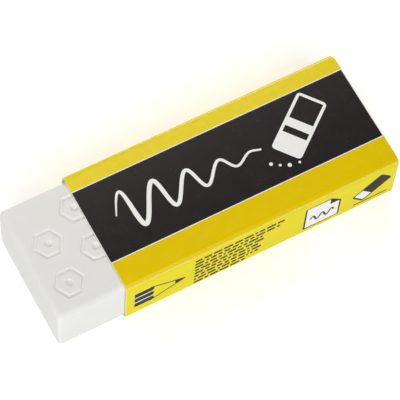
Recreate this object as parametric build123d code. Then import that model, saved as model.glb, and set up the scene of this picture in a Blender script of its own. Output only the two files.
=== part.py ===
from build123d import *
import os

# Block eraser in a folded card sleeve, lying on its broad side, in millimetres.
# +X runs from the bare working end to the tail, +Y to the glued side of the card, +Z up.
# The origin lies on the table, below the middle of the whole object.

# Eraser block
block_length = 65.0
block_width = 22.5
block_height = 11.5
block_corner_radius = 0.9
block_edge_radius = 0.8

# Marks pressed into the top of the block, set out as a honeycomb
mark_across = 5.0
mark_line_width = 0.6
mark_pip_diameter = 1.3
mark_depth = 0.18
mark_pitch = 8.0
mark_margin = 1.8

# Card sleeve, one folded strip with its two ends glued together on the far side
card_thickness = 0.35
sleeve_length = 53.0
glue_flap_share = 0.9
lap_edge_height = 1.7

# Fit of the block in the sleeve
slide_clearance = 0.15
tail_recess = 0.4

# Places along the object
overall_length = block_length + tail_recess
front_x = -overall_length / 2
mouth_x = overall_length / 2 - sleeve_length

# Inside of the sleeve, with folds that follow the block's edges
fold_radius = block_edge_radius + slide_clearance
cavity_width = block_width + 2 * slide_clearance
cavity_height = block_height + 2 * slide_clearance
glue_flap_width = cavity_height * glue_flap_share
sleeve_width = cavity_width + 3 * card_thickness
near_inside = card_thickness - sleeve_width / 2
far_inside = near_inside + cavity_width
lap_inside = far_inside + card_thickness
floor_inside = card_thickness
roof_inside = floor_inside + cavity_height
roof_middle = (near_inside + lap_inside) / 2

# Seat of the block in the sleeve
block_x = front_x + block_length / 2
block_y = (near_inside + far_inside) / 2
block_z = floor_inside + slide_clearance


def card_strip(*inside_points):
    """Section of a card strip whose inner face runs through the points and folds at each of them."""
    inner_face = FilletPolyline(*inside_points, radius=fold_radius)
    return make_face(offset(inner_face, card_thickness, side=Side.LEFT))


def card_sleeve():
    """Sleeve of one strip: inner flap, floor, near side and roof, then the outer panel glued to the flap."""
    wrap = card_strip(
        (far_inside, floor_inside + glue_flap_width),
        (far_inside, floor_inside),
        (near_inside, floor_inside),
        (near_inside, roof_inside),
        (roof_middle, roof_inside),
    )
    lap = card_strip(
        (roof_middle, roof_inside),
        (lap_inside, roof_inside),
        (lap_inside, lap_edge_height),
    )
    section = wrap + lap
    return extrude(Plane.YZ.offset(mouth_x) * section, sleeve_length)


def pressed_mark():
    """Outline of one mark: a hexagon ring round a pip, like a pencil seen from its end."""
    outer_apothem = mark_across / 2
    inner_apothem = outer_apothem - mark_line_width
    outer = RegularPolygon(outer_apothem, 6, major_radius=False)
    inner = RegularPolygon(inner_apothem, 6, major_radius=False)
    return outer - inner + Circle(mark_pip_diameter / 2)


def mark_places():
    """Honeycomb of places that fills the top of the block within its margin."""
    column_pitch = mark_pitch * 3 ** 0.5 / 2
    free_length = block_length - 2 * mark_margin - mark_across
    free_width = block_width - 2 * mark_margin - mark_across - mark_pitch / 2
    columns = int(free_length // column_pitch) + 1
    rows = int(free_width // mark_pitch) + 1
    return HexLocations(mark_pitch / 2, columns, rows)


def eraser_block():
    """Soft block with rounded corners and edges, and the pressed marks in its top."""
    plan = RectangleRounded(block_length, block_width, block_corner_radius)
    body = extrude(plan, block_height)
    rims = body.faces().filter_by(Axis.Z).edges()
    body = fillet(rims, block_edge_radius)
    top = Pos(0, 0, block_height)
    marks = Sketch() + [top * place * pressed_mark() for place in mark_places()]
    recesses = extrude(marks, -mark_depth)
    return Pos(block_x, block_y, block_z) * (body - recesses)


os.makedirs("parts", exist_ok=True)
export_step(eraser_block(), "parts/eraser_block.step")
export_step(card_sleeve(), "parts/card_sleeve.step")
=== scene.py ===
import math
import random
from collections import namedtuple

import bpy
from mathutils import Matrix, Quaternion, Vector
from mathutils.geometry import delaunay_2d_cdt


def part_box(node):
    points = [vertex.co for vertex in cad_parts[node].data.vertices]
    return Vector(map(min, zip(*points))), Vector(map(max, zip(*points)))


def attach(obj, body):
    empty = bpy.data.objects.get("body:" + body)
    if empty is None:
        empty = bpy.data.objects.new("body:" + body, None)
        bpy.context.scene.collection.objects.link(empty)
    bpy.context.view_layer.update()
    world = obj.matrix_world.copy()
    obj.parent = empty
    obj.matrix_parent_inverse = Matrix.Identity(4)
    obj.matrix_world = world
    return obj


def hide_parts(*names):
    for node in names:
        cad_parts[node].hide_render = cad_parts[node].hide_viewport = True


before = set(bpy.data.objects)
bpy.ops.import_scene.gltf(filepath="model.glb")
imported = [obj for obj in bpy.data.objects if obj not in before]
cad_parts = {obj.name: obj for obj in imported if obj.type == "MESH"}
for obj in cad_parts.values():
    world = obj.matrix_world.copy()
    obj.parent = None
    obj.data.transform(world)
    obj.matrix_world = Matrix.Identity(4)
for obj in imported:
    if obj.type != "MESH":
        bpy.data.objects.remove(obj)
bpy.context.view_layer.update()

# Block eraser in a printed card sleeve. Lengths are given in millimetres and turned into metres by MM.
# The sleeve is printed flat, as one strip cut into fields of ink, and then folded round the block.
MM = 0.001

# Card sleeve: sizes of the folded strip that the frame's box doesn't give
CARD = 0.35
FOLD_RADIUS = 1.30
FOLD_LENGTH = FOLD_RADIUS * math.pi / 2
FLAP_SHARE = 0.9
LAP_EDGE = 1.70
GLUE_GAP = 0.01
CUT_ROLL = 0.04

# Ends of the card, drawn in at the fold over the glued flap
DRAW_IN = 0.25
DRAW_IN_REACH = 1.2

# Wear of the print, on one step of each fold and in a strip along the cut ends
CREASE_STEP = 3
CREASE_WEAR = 0.5
CUT_WEAR_WIDTH = 0.22

# Eraser block: sizes that the frame's box doesn't give. A rim has a width on the broad face and a depth.
CORNER_RADIUS = 0.70
TOP_RIM = (1.40, 1.00)
BOTTOM_RIM = (0.80, 0.80)

# Least share of X in the normal of a face that counts as a knife-cut end
END_NORMAL_X = 0.9

# Marks pressed into the block. A flank has distances from the mark's edge, and shares of its depth there.
MARK_ACROSS = 5.0
MARK_LINE = 0.6
MARK_CORNER = 0.35
MARK_PIP = 1.3
MARK_DEPTH = 0.18
MARK_PITCH = 8.0
MARK_MARGIN = 1.8
FLANK_DISTANCES = (0.16, 0.10, 0.03, -0.05, -0.13)
FLANK_SHARES = (0.0, 0.0, 0.18, 0.75, 1.0)

# Meshes: steps of round stretches, flat strip beside a bend, and angles of sharp edges in degrees
FOLD_STEPS = 8
ROUND_STEPS = 6
MARK_CORNER_STEPS = 3
PIP_STEPS = 20
SUPPORT = 0.06
CARD_SHARP_ANGLE = 35
BLOCK_SHARP_ANGLE = 60

# Distances below which points of the strip or of a cap are joined, and a point is on a cut edge
STRIP_MERGE = 1e-5
CAP_MERGE = 1e-6
ON_CUT = 1e-4

# Output type of delaunay_2d_cdt that fills the whole hull with triangles
ALL_TRIANGLES = 0

# Dark panel on the floor and the roof of the sleeve
PANEL_NEAR = -6.34
PANEL_FAR = 8.15
PANEL_FRONT_MARGIN = 0.06
PANEL_TAIL_MARGIN = 0.20
KEYLINE = 0.16

# Scribble on the dark panel: it swells at its start and dies away
SCRIBBLE_START_X = -15.5
SCRIBBLE_END_X = 12.5
SCRIBBLE_Y = 0.9
SCRIBBLE_SWING = 4.1
SCRIBBLE_DECAY = 0.8
SCRIBBLE_WAVES = 4.5
SCRIBBLE_LEAN = 0.22
SCRIBBLE_WIDTH = 0.95
SCRIBBLE_START_SHARE = 0.25
SCRIBBLE_SWELL = 6
SCRIBBLE_THINNING_SHARE = 0.6
SCRIBBLE_STEPS = 150

# Eraser figure on the dark panel, and its crumbs as (x, y, radius)
PANEL_ERASER_CENTRE = (20.6, 1.9)
PANEL_ERASER_TILT = 38
PANEL_ERASER_LENGTH = 12.0
PANEL_ERASER_WIDTH = 5.6
PANEL_ERASER_CORNER = 0.7
PANEL_ERASER_BARE = 3.8
PANEL_ERASER_RIM = 0.55
PANEL_ERASER_BAND = (1.3, 3.0)
CRUMBS = ((12.6, -2.4, 0.34), (13.9, -3.3, 0.26), (15.4, -4.0, 0.38), (17.2, -4.3, 0.24))

# Pencil figure on the near side
PENCIL_BACK_X = -18.6
PENCIL_CONE_X = -15.6
PENCIL_LEAD_X = -10.8
PENCIL_TIP_X = -8.9
PENCIL_Z = 6.0
PENCIL_HALF_WIDTH = 2.8
PENCIL_FACETS = 3
PENCIL_GAP = 0.17
PENCIL_OUTLINE = 0.34
PENCIL_NOSE_STEPS = 8

# Rows of dashes of uneven length on the near side
DASH_START_X = -7.1
DASH_TOP_Z = 10.75
DASH_ROW_ENDS = (10.2, 9.6, 6.1, 7.0, 5.4, 6.6, 5.9, 3.0)
DASH_ROW_PITCH = 1.22
DASH_HEIGHT = 0.68
DASH_CORNER = DASH_HEIGHT / 4
DASH_CORNER_STEPS = 2
DASH_SHORTEST = 0.45
DASH_LONGEST = 1.9
DASH_SPACE = 0.32
DASH_SEED = 5

# Sheet of paper on the near side, with a pencil line on it
PAPER_LEFT = 14.6
PAPER_RIGHT = 21.4
PAPER_BOTTOM = 2.3
PAPER_TOP = 9.9
PAPER_TURNED_CORNER = 2.0
PAPER_OUTLINE = 0.38
PAPER_LINE_MARGIN = 1.1
PAPER_LINE_RISE = 2.9
PAPER_LINE_SWING = 0.9
PAPER_LINE_WAVES = 2.5
PAPER_LINE_STEPS = 40

# Eraser figure on the near side, and the line that it rubs along
SIDE_ERASER_CENTRE = (27.9, 6.5)
SIDE_ERASER_TILT = 40
SIDE_ERASER_LENGTH = 7.2
SIDE_ERASER_WIDTH = 3.8
SIDE_ERASER_CORNER = 0.6
SIDE_ERASER_INNER_CORNER = 0.4
SIDE_ERASER_BARE = 2.4
SIDE_ERASER_OUTLINE = 0.38
RUBBED_LINE = ((24.6, 2.4), (31.4, 2.4))

# Colours, as sRGB from 0 to 255
CARD_WHITE = (238, 234, 222)
RAW_CARD_DARK = (214, 209, 197)
RAW_CARD_LIGHT = (240, 237, 228)
VINYL_DARK = (226, 225, 221)
VINYL_LIGHT = (233, 232, 229)

# Unevenness of the print: shares of an ink's colour, and steps of its roughness either way
MOTTLE_DARK_SHARE = 0.96
MOTTLE_LIGHT_SHARE = 1.03
SMOOTHER = 0.03
ROUGHER = 0.04

# Light that enters the vinyl: its weight, its depth, and shares of that depth for red, green and blue
SUBSURFACE_WEIGHT = 0.15
SUBSURFACE_DEPTH = 0.8
SUBSURFACE_COLOUR_SHARES = (1.0, 0.9, 0.8)

# Varnishes over the print: specular level and roughness
BRIGHT = (0.16, 0.25)
DULL = (0.05, 0.40)

# Inks: name, colour and varnish, in the order of the sleeve's material slots. Raw card is the last slot.
INKS = (
    ("gold_ink", (228, 197, 0), BRIGHT),
    # Straw yellow of the top's far band: partly its own lighter ink, partly painted sheen from the light
    # behind
    ("straw_ink_and_sheen", (232, 209, 36), BRIGHT),
    ("lemon_ink", (232, 217, 28), DULL),
    ("black_ink", (37, 34, 33), BRIGHT),
    ("white_card_front", (240, 240, 236), BRIGHT),
    ("small_print_ink", (40, 37, 36), DULL),
)
GOLD, STRAW_AND_SHEEN, LEMON, BLACK, WHITE, SMALL_PRINT, RAW = range(len(INKS) + 1)

# Sockets of a mix node that hold colours. They share their names with others, so they go by number.
MIX_COLOUR_A = 6
MIX_COLOUR_B = 7
MIX_COLOUR_RESULT = 2

# Material slots of the block
MOULDED, KNIFE_CUT = range(2)

# Panels of the folded strip, in order
FLAP, FLOOR, NEAR, ROOF, FAR = range(5)

# Camera at the photograph's viewing angle: degrees, millimetres, and pixels of the photograph's frame
CAMERA_TARGET = Vector((0.0, 0.0, 5.0))
CAMERA_AZIMUTH = -33.77
CAMERA_ELEVATION = 64.107
CAMERA_ROLL = 5.986
CAMERA_DISTANCE = 414.714
CAMERA_RIGHT = 0.401
CAMERA_UP = 0.361
CAMERA_CLIP_START = 10.0
CAMERA_CLIP_END = 20000.0
FOCAL_PIXELS = 2395.8
FRAME_PIXELS = 400

# Floor, whose lift towards white grows to 1 between the two distances of the fade
FLOOR_DROP = 0.02
FLOOR_REACH = 4000.0
FLOOR_GREY = 0.92
FLOOR_LIFT = 0.34
FLOOR_FADE_START = 80.0
FLOOR_FADE_END = 300.0

# Light: soft boxes, with angles in degrees as seen from the object
COOL = (0.97, 0.985, 1.0)
WARM = (1.0, 0.955, 0.90)
SoftBox = namedtuple("SoftBox", "name azimuth elevation roll distance width height watts colour")
SOFT_BOXES = (
    SoftBox("front_box", -20.0, 38.0, 0.0, 800.0, 700.0, 700.0, 6.10, COOL),
    SoftBox("left_box", -100.0, 30.0, 0.0, 800.0, 600.0, 600.0, 1.80, COOL),
    SoftBox("back_box", 164.0, 55.5, 19.0, 200.0, 160.0, 60.0, 0.108, WARM),
    SoftBox("fill_box", 150.0, 9.5, 0.0, 800.0, 600.0, 240.0, 3.40, WARM),
)
SURROUND_COLOUR = (1.0, 0.965, 0.92)
SURROUND_STRENGTH = 0.07


def box_mm(node):
    """Lowest and highest corner of a node, in millimetres."""
    low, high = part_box(node)
    return low / MM, high / MM


sleeve_low, sleeve_high = box_mm("card_sleeve")
block_low, block_high = box_mm("eraser_block")


# Flat shapes, as lists of points in millimetres

def rectangle(x0, y0, x1, y1):
    return [(x0, y0), (x1, y0), (x1, y1), (x0, y1)]


def arc(cx, cy, radius, start, end, steps):
    """Points on an arc, with its angles in degrees."""
    angles = [math.radians(start + (end - start) * i / steps) for i in range(steps + 1)]
    return [(cx + radius * math.cos(a), cy + radius * math.sin(a)) for a in angles]


def rounded_rectangle(x0, y0, x1, y1, radius, steps=4):
    points = arc(x1 - radius, y1 - radius, radius, 0, 90, steps)
    points += arc(x0 + radius, y1 - radius, radius, 90, 180, steps)
    points += arc(x0 + radius, y0 + radius, radius, 180, 270, steps)
    points += arc(x1 - radius, y0 + radius, radius, 270, 360, steps)
    return points


def disc(cx, cy, radius, steps=14):
    return arc(cx, cy, radius, 0, 360, steps)[:-1]


def turned(points, angle, centre):
    """Points turned about the origin by an angle in degrees, then moved to a centre."""
    c, s = math.cos(math.radians(angle)), math.sin(math.radians(angle))
    return [(centre[0] + x * c - y * s, centre[1] + x * s + y * c) for x, y in points]


def stroke(points, widths):
    """Triangles along a line, with a width at each of its points."""
    sides = []
    for i, (x, y) in enumerate(points):
        before = points[max(i - 1, 0)]
        after = points[min(i + 1, len(points) - 1)]
        along = Vector((after[0] - before[0], after[1] - before[1])).normalized()
        half = widths[i] / 2
        sides.append(((x - along.y * half, y + along.x * half), (x + along.y * half, y - along.x * half)))
    triangles = []
    for a, b in zip(sides, sides[1:]):
        triangles += [[a[0], a[1], b[1]], [a[0], b[1], b[0]]]
    return triangles


def line(points, width):
    return stroke(points, [width] * len(points))


# The folded strip, measured by the distance along its printed face from the glue flap to the lap edge

Panel = namedtuple("Panel", "distance start way")
Station = namedtuple("Station", "distance y z normal_y normal_z bend wear")


def strip_corners():
    """Corners of the printed face as (y, z), with the folds still sharp."""
    flap_y = sleeve_high.y - CARD - GLUE_GAP
    flap_top = CARD + FLAP_SHARE * (sleeve_high.z - 2 * CARD)
    return [
        Vector((flap_y, flap_top)),
        Vector((flap_y, 0.0)),
        Vector((sleeve_low.y, 0.0)),
        Vector((sleeve_low.y, sleeve_high.z)),
        Vector((sleeve_high.y, sleeve_high.z)),
        Vector((sleeve_high.y, LAP_EDGE)),
    ]


def outward(way):
    """Normal of the printed face beside a direction along the strip."""
    return Vector((-way.y, way.x))


def panel_stations(panel, length):
    """Stations at the ends of a flat panel, with a support beside each."""
    normal = outward(panel.way)
    for step in (0.0, SUPPORT, length - SUPPORT, length):
        place = panel.start + panel.way * step
        yield Station(panel.distance + step, place.x, place.y, normal.x, normal.y, 0.0, 0.0)


def fold_stations(distance, centre, way, crease_step, over_flap):
    """Stations between the two ends of a fold that starts at a distance, in a direction."""
    normal = outward(way)
    for k in range(1, FOLD_STEPS):
        turn = math.pi / 2 * k / FOLD_STEPS
        out = normal * math.cos(turn) + way * math.sin(turn)
        place = centre + out * FOLD_RADIUS
        bend = math.sin(2 * turn) if over_flap else 0.0
        wear = CREASE_WEAR if k == crease_step else 0.0
        yield Station(distance + FOLD_RADIUS * turn, place.x, place.y, out.x, out.y, bend, wear)


def fold_strip():
    """Stations, panels and distances of the creases.

    Each crease lies on the part of its fold that is nearer to the narrow side.
    """
    corners = strip_corners()
    stations, panels, creases = [], [], []
    distance, point = 0.0, corners[0]
    for i, (start, end) in enumerate(zip(corners, corners[1:])):
        way = (end - start).normalized()
        if i != FAR:
            end = end - way * FOLD_RADIUS
        length = (end - point).length
        panel = Panel(distance, point, way)
        panels.append(panel)
        stations += panel_stations(panel, length)
        distance += length
        if i == FAR:
            break
        from_narrow_side = abs(way.y) > abs(way.x)
        crease_step = CREASE_STEP if from_narrow_side else FOLD_STEPS - CREASE_STEP
        creases.append(distance + FOLD_LENGTH * crease_step / FOLD_STEPS)
        centre = end - outward(way) * FOLD_RADIUS
        stations += fold_stations(distance, centre, way, crease_step, i == ROOF)
        distance += FOLD_LENGTH
        point = centre + way * FOLD_RADIUS
    return stations, panels, creases


stations, panels, creases = fold_strip()
strip_width = stations[-1].distance


def on_panel(index, points):
    """Layout points (x, distance) of points given by x and the panel's own y or z."""
    panel = panels[index]
    along = 0 if abs(panel.way.x) > abs(panel.way.y) else 1
    return [(x, panel.distance + (v - panel.start[along]) * panel.way[along]) for x, v in points]


def station_at(distance):
    """Station at any distance along the strip, between its neighbours."""
    for a, b in zip(stations, stations[1:]):
        if distance <= b.distance:
            break
    share = (distance - a.distance) / (b.distance - a.distance)
    share = min(max(share, 0.0), 1.0)
    return Station(*(p + (q - p) * share for p, q in zip(a, b)))


# Print layout: fields in painting order, each an ink and an outline on the flat strip

fields = []


def counter_clockwise(outline):
    """Outline in the order that keeps its field on the left."""
    area = sum(a[0] * b[1] - b[0] * a[1] for a, b in zip(outline, outline[1:] + outline[:1]))
    return outline if area > 0 else outline[::-1]


def paint(ink, panel, *outlines):
    for outline in outlines:
        fields.append((ink, counter_clockwise(on_panel(panel, outline))))


def paint_bands():
    """Bands of yellow along the whole sleeve, and the white glue flap."""
    x0, x1 = sleeve_low.x, sleeve_high.x
    panel_edge = on_panel(ROOF, [(x0, PANEL_FAR)])[0][1]
    fields.append((GOLD, rectangle(x0, 0.0, x1, strip_width)))
    fields.append((WHITE, rectangle(x0, 0.0, x1, creases[FLAP])))
    fields.append((LEMON, rectangle(x0, creases[FLOOR], x1, creases[NEAR])))
    fields.append((LEMON, rectangle(x0, creases[ROOF], x1, strip_width)))
    # Far band of the top only, in straw yellow: partly printed ink, partly painted sheen; the underside's
    # far band stays gold
    fields.append((STRAW_AND_SHEEN, rectangle(x0, panel_edge, x1, creases[ROOF])))


def paint_panel(panel):
    """Dark panel with a fine white keyline."""
    x0, x1 = sleeve_low.x, sleeve_high.x
    paint(WHITE, panel, rectangle(x0, PANEL_NEAR - KEYLINE, x1, PANEL_FAR + KEYLINE))
    paint(BLACK, panel, rectangle(x0 + PANEL_FRONT_MARGIN, PANEL_NEAR, x1 - PANEL_TAIL_MARGIN, PANEL_FAR))


def paint_scribble():
    """Pencil scribble that dies away along the dark panel."""
    points, widths = [], []
    for i in range(SCRIBBLE_STEPS + 1):
        t = i / SCRIBBLE_STEPS
        y = SCRIBBLE_SWING * (1 - t) ** SCRIBBLE_DECAY * math.sin(2 * math.pi * SCRIBBLE_WAVES * t)
        x = SCRIBBLE_START_X + (SCRIBBLE_END_X - SCRIBBLE_START_X) * t
        points.append((x + SCRIBBLE_LEAN * y, SCRIBBLE_Y + y))
        swelling = min(1.0, SCRIBBLE_START_SHARE + SCRIBBLE_SWELL * t)
        widths.append(SCRIBBLE_WIDTH * swelling * (1 - SCRIBBLE_THINNING_SHARE * t))
    paint(WHITE, ROOF, *stroke(points, widths))


def paint_panel_eraser():
    """Tilted eraser with its sleeve on the dark panel, and the crumbs that it leaves."""
    end, side = PANEL_ERASER_LENGTH / 2, PANEL_ERASER_WIDTH / 2
    mouth = -end + PANEL_ERASER_BARE
    band_start, band_end = PANEL_ERASER_BAND
    inside = side - PANEL_ERASER_RIM
    whole = rounded_rectangle(-end, -side, end, side, PANEL_ERASER_CORNER)
    sleeve = rectangle(mouth, -inside, end - PANEL_ERASER_RIM, inside)
    band = rectangle(mouth + band_start, -inside, mouth + band_end, inside)
    for ink, shape in ((WHITE, whole), (BLACK, sleeve), (WHITE, band)):
        paint(ink, ROOF, turned(shape, PANEL_ERASER_TILT, PANEL_ERASER_CENTRE))
    for x, y, radius in CRUMBS:
        paint(WHITE, ROOF, disc(x, y, radius))


def paint_pencil():
    """Pencil figure at the front of the near side."""
    half = PENCIL_HALF_WIDTH
    lead_half = half * (PENCIL_TIP_X - PENCIL_LEAD_X) / (PENCIL_TIP_X - PENCIL_CONE_X)
    facet = 2 * half / PENCIL_FACETS
    edge = facet / 2 - PENCIL_GAP
    tip = (PENCIL_TIP_X, PENCIL_Z)
    bottom, top = PENCIL_Z - half + PENCIL_GAP, PENCIL_Z + half - PENCIL_GAP
    paint(WHITE, NEAR, rectangle(PENCIL_BACK_X, bottom, PENCIL_CONE_X, top))
    for side in (-1, 1):
        shoulder = (PENCIL_CONE_X, PENCIL_Z + side * (half - PENCIL_GAP))
        paint(SMALL_PRINT, NEAR, *line([shoulder, tip], PENCIL_OUTLINE))
    lead = [(PENCIL_LEAD_X, PENCIL_Z - lead_half), tip, (PENCIL_LEAD_X, PENCIL_Z + lead_half)]
    paint(SMALL_PRINT, NEAR, lead)
    for k in range(PENCIL_FACETS):
        middle = PENCIL_Z - half + facet * (k + 0.5)
        back = [(PENCIL_BACK_X, middle - edge), (PENCIL_BACK_X, middle + edge)]
        nose = arc(PENCIL_CONE_X, middle, edge, 90, -90, PENCIL_NOSE_STEPS)
        paint(SMALL_PRINT, NEAR, back + nose)


def paint_dashes():
    """Rows of dashes of uneven length."""
    draw = random.Random(DASH_SEED)
    for row, row_end in enumerate(DASH_ROW_ENDS):
        z = DASH_TOP_Z - DASH_ROW_PITCH * row
        x = DASH_START_X
        while x < row_end - DASH_SHORTEST:
            end = min(x + draw.uniform(DASH_SHORTEST, DASH_LONGEST), row_end)
            dash = rounded_rectangle(x, z - DASH_HEIGHT, end, z, DASH_CORNER, DASH_CORNER_STEPS)
            paint(SMALL_PRINT, NEAR, dash)
            x = end + DASH_SPACE


def paint_paper():
    """Sheet of paper with a turned corner and a pencil line."""
    x0, x1, z0, z1 = PAPER_LEFT, PAPER_RIGHT, PAPER_BOTTOM, PAPER_TOP
    fold_x, fold_z = x1 - PAPER_TURNED_CORNER, z1 - PAPER_TURNED_CORNER
    sheet = [(x0, z0), (x1, z0), (x1, fold_z), (fold_x, z1), (x0, z1)]
    paint(WHITE, NEAR, sheet)
    paint(SMALL_PRINT, NEAR, *line(sheet + sheet[:1], PAPER_OUTLINE))
    paint(SMALL_PRINT, NEAR, [(fold_x, z1), (fold_x, fold_z), (x1, fold_z)])
    start, end = x0 + PAPER_LINE_MARGIN, x1 - PAPER_LINE_MARGIN
    wave = []
    for i in range(PAPER_LINE_STEPS + 1):
        t = i / PAPER_LINE_STEPS
        z = z0 + PAPER_LINE_RISE + PAPER_LINE_SWING * math.sin(2 * math.pi * PAPER_LINE_WAVES * t)
        wave.append((start + (end - start) * t, z))
    paint(SMALL_PRINT, NEAR, *line(wave, PAPER_OUTLINE))


def paint_side_eraser():
    """Tilted eraser on the near side, rubbing along a line."""
    end, side, edge = SIDE_ERASER_LENGTH / 2, SIDE_ERASER_WIDTH / 2, SIDE_ERASER_OUTLINE
    whole = rounded_rectangle(-end, -side, end, side, SIDE_ERASER_CORNER)
    inner = rounded_rectangle(-end + edge, -side + edge, end - edge, side - edge, SIDE_ERASER_INNER_CORNER)
    sleeve = rectangle(-end + SIDE_ERASER_BARE, -side, end - edge, side)
    for ink, shape in ((SMALL_PRINT, whole), (WHITE, inner), (SMALL_PRINT, sleeve)):
        paint(ink, NEAR, turned(shape, SIDE_ERASER_TILT, SIDE_ERASER_CENTRE))
    paint(SMALL_PRINT, NEAR, *line(RUBBED_LINE, SIDE_ERASER_OUTLINE))


def lay_out_print():
    paint_bands()
    paint_panel(FLOOR)
    paint_panel(ROOF)
    paint_scribble()
    paint_panel_eraser()
    paint_pencil()
    paint_dashes()
    paint_paper()
    paint_side_eraser()


# Meshes

def link_object(name, data):
    """New object in the scene."""
    made = bpy.data.objects.new(name, data)
    bpy.context.scene.collection.objects.link(made)
    return made


def mesh_object(name, points, faces, slots, materials, sharp_angle):
    """Smooth mesh object, with a material slot for each face and sharp edges where it turns hard."""
    mesh = bpy.data.meshes.new(name)
    mesh.from_pydata([Vector(p) * MM for p in points], [], faces)
    for material in materials:
        mesh.materials.append(material)
    mesh.polygons.foreach_set("material_index", slots)
    mesh.shade_smooth()
    mesh.set_sharp_from_angle(angle=math.radians(sharp_angle))
    return link_object(name, mesh)


# Card sleeve

def drawn_in(x, bend):
    """Place along the sleeve, with the ends of the card drawn in where it bends over the glued flap."""
    inward = 1 if x < (sleeve_low.x + sleeve_high.x) / 2 else -1
    to_end = min(x - sleeve_low.x, sleeve_high.x - x)
    return x + inward * DRAW_IN * bend * max(0.0, 1 - to_end / DRAW_IN_REACH)


def cut_strip():
    """Points, triangles and inks of the flat strip, cut along its fields, stations and worn ends."""
    x0, x1 = sleeve_low.x, sleeve_high.x
    points, edges, faces = [], [], []
    for _, outline in fields:
        faces.append(list(range(len(points), len(points) + len(outline))))
        points += outline
    cuts = [((x0, station.distance), (x1, station.distance)) for station in stations]
    cuts += [((x, 0.0), (x, strip_width)) for x in (x0 + CUT_WEAR_WIDTH, x1 - CUT_WEAR_WIDTH)]
    for cut in cuts:
        edges.append((len(points), len(points) + 1))
        points += cut
    flat, _, triangles, _, _, owners = delaunay_2d_cdt(
        [Vector(p) for p in points], edges, faces, ALL_TRIANGLES, STRIP_MERGE, True)
    inks = [fields[max(owner)][0] for owner in owners]
    return flat, triangles, inks


def fold_card(flat):
    """Printed face, raw face and wear of the folded card, at the points of the flat strip."""
    x0, x1 = sleeve_low.x, sleeve_high.x
    printed, raw, wear = [], [], []
    for x, distance in flat:
        station = station_at(distance)
        on_cut = min(x - x0, x1 - x, distance, strip_width - distance) < ON_CUT
        roll = CUT_ROLL if on_cut else 0.0
        depth = CARD - roll
        x = drawn_in(x, station.bend)
        printed.append((x, station.y - station.normal_y * roll, station.z - station.normal_z * roll))
        raw.append((x, station.y - station.normal_y * depth, station.z - station.normal_z * depth))
        wear.append(1.0 if on_cut else station.wear)
    return printed, raw, wear


def open_edges(triangles):
    """Edges that have a triangle on one side only."""
    edges = [edge for a, b, c in triangles for edge in ((a, b), (b, c), (c, a))]
    known = set(edges)
    return [edge for edge in edges if edge[::-1] not in known]


def card_sleeve(materials):
    """Printed strip, cut to its fields, folded round the block and given the card's thickness."""
    flat, triangles, inks = cut_strip()
    printed, raw, wear = fold_card(flat)
    count = len(flat)
    faces, slots = [], []
    for (a, b, c), ink in zip(triangles, inks):
        faces += [(a, b, c), (c + count, b + count, a + count)]
        slots += [ink, RAW]
    for a, b in open_edges(triangles):
        faces.append((b, a, a + count, b + count))
        slots.append(RAW)
    piece = mesh_object("printed_card_sleeve", printed + raw, faces, slots, materials, CARD_SHARP_ANGLE)
    attribute = piece.data.attributes.new("wear", "FLOAT", "POINT")
    attribute.data.foreach_set("value", wear + [0.0] * count)
    return piece


# Eraser block

def block_outline(inset):
    """Outline of the block's plan, set in from its sides."""
    return rounded_rectangle(
        block_low.x + inset, block_low.y + inset, block_high.x - inset, block_high.y - inset,
        CORNER_RADIUS, ROUND_STEPS)


def rim(width, depth):
    """Insets of the rings that round a rim, and their distances from the broad face."""
    turns = [math.pi / 2 * k / ROUND_STEPS for k in range(ROUND_STEPS + 1)]
    rings = [(width * (1 - math.sin(t)), depth * (1 - math.cos(t))) for t in turns]
    return rings + [(0.0, depth + SUPPORT)]


def ring_walls(rings):
    """Points of rings given by inset and height, and the faces between them."""
    points, faces = [], []
    for inset, z in rings:
        points += [(x, y, z) for x, y in block_outline(inset)]
    around = len(points) // len(rings)
    for low in range(0, len(points) - around, around):
        high = low + around
        for i in range(around):
            j = (i + 1) % around
            faces.append((low + i, low + j, high + j, high + i))
    return points, faces


def add_cap(points, faces, ring, loops, upward):
    """Adds a flat cap inside a ring of point numbers, cut along loops of an outline and a depth."""
    z = points[ring[0]][2]
    flat = [Vector(points[i][:2]) for i in ring]
    depths = [0.0] * len(ring)
    rounds = [range(len(ring))]
    for outline, depth in loops:
        rounds.append(range(len(flat), len(flat) + len(outline)))
        flat += [Vector(p) for p in outline]
        depths += [depth] * len(outline)
    edges = [(loop[i], loop[(i + 1) % len(loop)]) for loop in rounds for i in range(len(loop))]
    made, _, triangles, sources, _, _ = delaunay_2d_cdt(flat, edges, [], ALL_TRIANGLES, CAP_MERGE, True)
    numbers = []
    for vertex, source in zip(made, sources):
        if source[0] < len(ring):
            numbers.append(ring[source[0]])
        else:
            numbers.append(len(points))
            points.append((vertex.x, vertex.y, z - depths[source[0]]))
    for a, b, c in triangles:
        corners = (numbers[a], numbers[b], numbers[c])
        faces.append(corners if upward else corners[::-1])


def mark_centres():
    """Honeycomb of places for the pressed marks."""
    column_pitch = MARK_PITCH * math.sqrt(3) / 2
    size = block_high - block_low
    middle = (block_high + block_low) / 2
    columns = int((size.x - 2 * MARK_MARGIN - MARK_ACROSS) // column_pitch) + 1
    rows = int((size.y - 2 * MARK_MARGIN - MARK_ACROSS - MARK_PITCH / 2) // MARK_PITCH) + 1
    for i in range(columns):
        for j in range(rows):
            x = middle.x + (i - (columns - 1) / 2) * column_pitch
            y = middle.y + (j - (rows - 1) / 2) * MARK_PITCH + MARK_PITCH / 4 * (1 if i % 2 else -1)
            yield x, y


def hexagon(cx, cy, apothem):
    """Hexagon with rounded corners and a corner on the X axis."""
    radius = MARK_CORNER * apothem / (MARK_ACROSS / 2)
    reach = (apothem - radius) / math.cos(math.pi / 6)
    points = []
    for angle in range(0, 360, 60):
        x = cx + reach * math.cos(math.radians(angle))
        y = cy + reach * math.sin(math.radians(angle))
        points += arc(x, y, radius, angle - 30, angle + 30, MARK_CORNER_STEPS)
    return points


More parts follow.
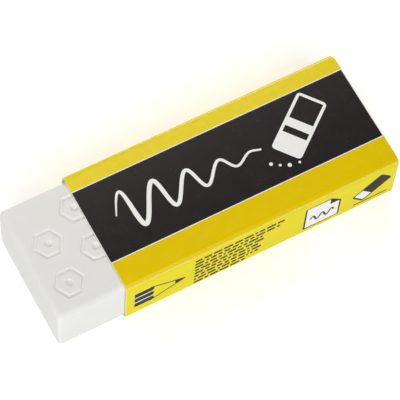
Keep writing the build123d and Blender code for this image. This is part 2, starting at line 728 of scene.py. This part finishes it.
def mark_loops(cx, cy):
    """Loops of one mark with their depths: a hexagonal groove with soft flanks, and a pip."""
    outer = MARK_ACROSS / 2
    inner = outer - MARK_LINE
    flank = [(distance, MARK_DEPTH * share) for distance, share in zip(FLANK_DISTANCES, FLANK_SHARES)]
    loops = [(hexagon(cx, cy, outer + distance), depth) for distance, depth in flank]
    loops += [(hexagon(cx, cy, inner - distance), depth) for distance, depth in flank]
    loops += [(disc(cx, cy, MARK_PIP / 2 + distance, PIP_STEPS), depth) for distance, depth in flank]
    return loops


def is_cut_end(points, face):
    """Whether a face looks along the block, as its two knife-cut ends do."""
    a, b, c = (Vector(points[i]) for i in face[:3])
    normal = (b - a).cross(c - a).normalized()
    return abs(normal.x) > END_NORMAL_X


def eraser_block(materials):
    """Block with rounded rims, and the marks pressed into its top."""
    rings = [(inset, block_low.z + away) for inset, away in rim(*BOTTOM_RIM)]
    rings += [(inset, block_high.z - away) for inset, away in reversed(rim(*TOP_RIM))]
    points, faces = ring_walls(rings)
    around = len(points) // len(rings)
    bottom, top = range(around), range(len(points) - around, len(points))
    top_loops = [(block_outline(TOP_RIM[0] + SUPPORT), 0.0)]
    for centre in mark_centres():
        top_loops += mark_loops(*centre)
    add_cap(points, faces, top, top_loops, True)
    add_cap(points, faces, bottom, [(block_outline(BOTTOM_RIM[0] + SUPPORT), 0.0)], False)
    slots = [KNIFE_CUT if is_cut_end(points, face) else MOULDED for face in faces]
    return mesh_object("vinyl_eraser_block", points, faces, slots, materials, BLOCK_SHARP_ANGLE)


# Materials

def srgb(colour):
    """Linear colour of an sRGB colour from 0 to 255."""
    shares = (c / 255 for c in colour)
    return tuple(s / 12.92 if s <= 0.04045 else ((s + 0.055) / 1.055) ** 2.4 for s in shares)


class Surface:
    """Node tree of a material, with the few kinds of node that the materials here need."""

    def __init__(self, name):
        self.material = bpy.data.materials.new(name)
        self.material.use_nodes = True
        self.nodes = self.material.node_tree.nodes
        self.shader = self.nodes["Principled BSDF"]

    def add(self, kind, operation=None):
        node = self.nodes.new("ShaderNode" + kind)
        if operation:
            node.operation = operation
        return node

    def feed(self, socket, value):
        """Links another node's output to a socket, or sets the socket to a plain value."""
        if isinstance(value, bpy.types.NodeSocket):
            self.material.node_tree.links.new(value, socket)
        else:
            socket.default_value = value

    def noise(self, size, detail=2.0, stretch=(1, 1, 1)):
        """Noise with features of about that many millimetres, in the piece's own coordinates."""
        mapping = self.add("Mapping")
        self.feed(mapping.inputs["Vector"], self.add("TexCoord").outputs["Object"])
        self.feed(mapping.inputs["Scale"], [s / (size * MM) for s in stretch])
        texture = self.add("TexNoise")
        self.feed(texture.inputs["Vector"], mapping.outputs["Vector"])
        self.feed(texture.inputs["Scale"], 1.0)
        self.feed(texture.inputs["Detail"], detail)
        return texture.outputs["Fac"]

    def spread(self, factor, low, high, start=0.3, end=0.7):
        """Factor mapped from start..end to low..high."""
        node = self.add("MapRange")
        self.feed(node.inputs["Value"], factor)
        for name, value in (("From Min", start), ("From Max", end), ("To Min", low), ("To Max", high)):
            self.feed(node.inputs[name], value)
        return node.outputs["Result"]

    def calculate(self, operation, a, b):
        node = self.add("Math", operation)
        self.feed(node.inputs[0], a)
        self.feed(node.inputs[1], b)
        return node.outputs["Value"]

    def mix(self, factor, a, b):
        """Colour between a and b, each a linear colour or another node's output."""
        node = self.add("Mix")
        node.data_type = "RGBA"
        self.feed(node.inputs["Factor"], factor)
        for number, value in ((MIX_COLOUR_A, a), (MIX_COLOUR_B, b)):
            self.feed(node.inputs[number], (*value, 1.0) if isinstance(value, tuple) else value)
        return node.outputs[MIX_COLOUR_RESULT]

    def bump(self, height, depth, strength, below=None):
        """Bump of a depth in millimetres, on top of another one if that is given."""
        node = self.add("Bump")
        self.feed(node.inputs["Height"], height)
        self.feed(node.inputs["Distance"], depth * MM)
        self.feed(node.inputs["Strength"], strength)
        if below is not None:
            self.feed(node.inputs["Normal"], below)
        return node.outputs["Normal"]

    def set(self, name, value):
        """Feeds one of the shader's own sockets."""
        self.feed(self.shader.inputs[name], value)


def printed_ink(name, colour, varnish):
    """Varnished ink on card: slight mottling, faint fibre relief, and wear along folds and cuts."""
    ink = Surface(name)
    specular, roughness = varnish
    full = srgb(colour)
    dark = tuple(c * MOTTLE_DARK_SHARE for c in full)
    light = tuple(min(1.0, c * MOTTLE_LIGHT_SHARE) for c in full)
    mottled = ink.mix(ink.noise(size=1.6, detail=3.0), dark, light)
    wear = ink.add("Attribute")
    wear.attribute_name = "wear"
    patches = ink.spread(ink.noise(size=0.5, detail=4.0), low=0.1, high=0.8, start=0.35, end=0.65)
    worn = ink.calculate("MULTIPLY", wear.outputs["Fac"], patches)
    sheen = ink.spread(ink.noise(size=2.4), low=roughness - SMOOTHER, high=roughness + ROUGHER)
    fibres = ink.noise(size=0.22, detail=3.0, stretch=(0.5, 1, 1))
    ink.set("Base Color", ink.mix(worn, mottled, srgb(CARD_WHITE)))
    ink.set("Specular IOR Level", specular)
    ink.set("Roughness", sheen)
    ink.set("Normal", ink.bump(fibres, depth=0.004, strength=0.3))
    return ink.material


def raw_card(name):
    """Uncoated card: the inside of the sleeve and its cut edges."""
    card = Surface(name)
    fibres = card.noise(size=0.35, detail=5.0, stretch=(0.35, 1, 1))
    card.set("Base Color", card.mix(fibres, srgb(RAW_CARD_DARK), srgb(RAW_CARD_LIGHT)))
    card.set("Roughness", card.spread(fibres, low=0.8, high=0.95))
    card.set("Normal", card.bump(fibres, depth=0.03, strength=0.5))
    return card.material


def vinyl(name, knife_cut):
    """Soft white vinyl with a fine grain. A cut face also has faint knife lines."""
    white = Surface(name)
    clouds = white.noise(size=5.0, detail=3.0)
    relief = white.bump(white.noise(size=3.0), depth=0.05, strength=0.25)
    relief = white.bump(white.noise(size=0.18, detail=4.0), depth=0.02, strength=0.4, below=relief)
    if knife_cut:
        knife_lines = white.noise(size=0.3, stretch=(1, 1, 0.03))
        relief = white.bump(knife_lines, depth=0.03, strength=0.35, below=relief)
    white.set("Base Color", white.mix(clouds, srgb(VINYL_DARK), srgb(VINYL_LIGHT)))
    white.set("Subsurface Weight", SUBSURFACE_WEIGHT)
    white.set("Subsurface Radius", SUBSURFACE_COLOUR_SHARES)
    white.set("Subsurface Scale", SUBSURFACE_DEPTH * MM)
    white.set("Roughness", white.spread(white.noise(size=1.2), low=0.48, high=0.62))
    white.set("Normal", relief)
    return white.material


def floor_white():
    """White that keeps the shadow. Seen directly or mirrored it is lifted to white, more so far away."""
    white = Surface("floor_white")
    white.nodes.remove(white.shader)
    ray = white.add("LightPath").outputs
    reflected = white.calculate("MAXIMUM", ray["Is Glossy Ray"], ray["Is Transmission Ray"])
    seen = white.calculate("MAXIMUM", ray["Is Camera Ray"], reflected)
    away = white.add("VectorMath", "LENGTH")
    white.feed(away.inputs[0], white.add("TexCoord").outputs["Object"])
    fade_start, fade_end = FLOOR_FADE_START * MM, FLOOR_FADE_END * MM
    lift = white.spread(away.outputs["Value"], low=FLOOR_LIFT, high=1.0, start=fade_start, end=fade_end)
    diffuse = white.add("BsdfDiffuse")
    white.feed(diffuse.inputs["Color"], (FLOOR_GREY, FLOOR_GREY, FLOOR_GREY, 1.0))
    glow = white.add("Emission")
    white.feed(glow.inputs["Color"], (1.0, 1.0, 1.0, 1.0))
    white.feed(glow.inputs["Strength"], white.calculate("MULTIPLY", seen, lift))
    both = white.add("AddShader")
    white.feed(both.inputs[0], diffuse.outputs["BSDF"])
    white.feed(both.inputs[1], glow.outputs["Emission"])
    white.feed(white.nodes["Material Output"].inputs["Surface"], both.outputs["Shader"])
    return white.material


# Stage

def direction(azimuth, elevation):
    """Unit vector towards an azimuth and an elevation in degrees. Azimuth 0 is -Y and 90 is +X."""
    a, e = math.radians(azimuth), math.radians(elevation)
    return Vector((math.sin(a) * math.cos(e), -math.cos(a) * math.cos(e), math.sin(e)))


def add_camera():
    """Camera at the photograph's viewing angle."""
    azimuth, roll = math.radians(CAMERA_AZIMUTH), math.radians(CAMERA_ROLL)
    back = direction(CAMERA_AZIMUTH, CAMERA_ELEVATION)
    level = Vector((math.cos(azimuth), math.sin(azimuth), 0.0))
    rise = back.cross(level)
    right = level * math.cos(roll) + rise * math.sin(roll)
    up = rise * math.cos(roll) - level * math.sin(roll)
    place = CAMERA_TARGET + back * CAMERA_DISTANCE + right * CAMERA_RIGHT + up * CAMERA_UP
    data = bpy.data.cameras.new("photo_camera")
    data.lens = data.sensor_width * FOCAL_PIXELS / FRAME_PIXELS
    data.clip_start = CAMERA_CLIP_START * MM
    data.clip_end = CAMERA_CLIP_END * MM
    camera = link_object("photo_camera", data)
    turn = Matrix((right, up, back)).transposed().to_4x4()
    camera.matrix_world = Matrix.Translation(place * MM) @ turn
    bpy.context.scene.camera = camera


def add_floor():
    """Plain white floor just under the object."""
    outline = rectangle(-FLOOR_REACH, -FLOOR_REACH, FLOOR_REACH, FLOOR_REACH)
    mesh = bpy.data.meshes.new("floor")
    mesh.from_pydata([(x * MM, y * MM, -FLOOR_DROP * MM) for x, y in outline], [], [(0, 1, 2, 3)])
    mesh.materials.append(floor_white())
    floor = link_object("floor", mesh)


def add_soft_box(box):
    """Soft box that faces the object, turned about its own axis by its roll."""
    towards = direction(box.azimuth, box.elevation)
    lamp = bpy.data.lights.new(box.name, "AREA")
    lamp.shape = "RECTANGLE"
    lamp.size = box.width * MM
    lamp.size_y = box.height * MM
    lamp.energy = box.watts
    lamp.color = box.colour
    light = link_object(box.name, lamp)
    light.location = towards * (box.distance * MM)
    light.rotation_mode = "QUATERNION"
    light.rotation_quaternion = (
        towards.to_track_quat("Z", "Y") @ Quaternion((0, 0, 1), math.radians(box.roll)))
    light.visible_camera = False


def add_light():
    """Soft boxes in front, at the left, behind and low at the back, with an even dim surround."""
    world = bpy.data.worlds.new("surround")
    world.use_nodes = True
    background = world.node_tree.nodes["Background"]
    background.inputs["Color"].default_value = (*SURROUND_COLOUR, 1.0)
    background.inputs["Strength"].default_value = SURROUND_STRENGTH
    bpy.context.scene.world = world
    for box in SOFT_BOXES:
        add_soft_box(box)


def main():
    lay_out_print()
    sleeve = card_sleeve([printed_ink(*ink) for ink in INKS] + [raw_card("raw_card")])
    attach(sleeve, "sleeve")
    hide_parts("card_sleeve")
    block = eraser_block([vinyl("white_vinyl", False), vinyl("white_vinyl_cut", True)])
    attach(block, "block")
    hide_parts("eraser_block")
    add_floor()
    add_light()
    add_camera()
    bpy.context.scene.view_settings.view_transform = "Standard"


main()
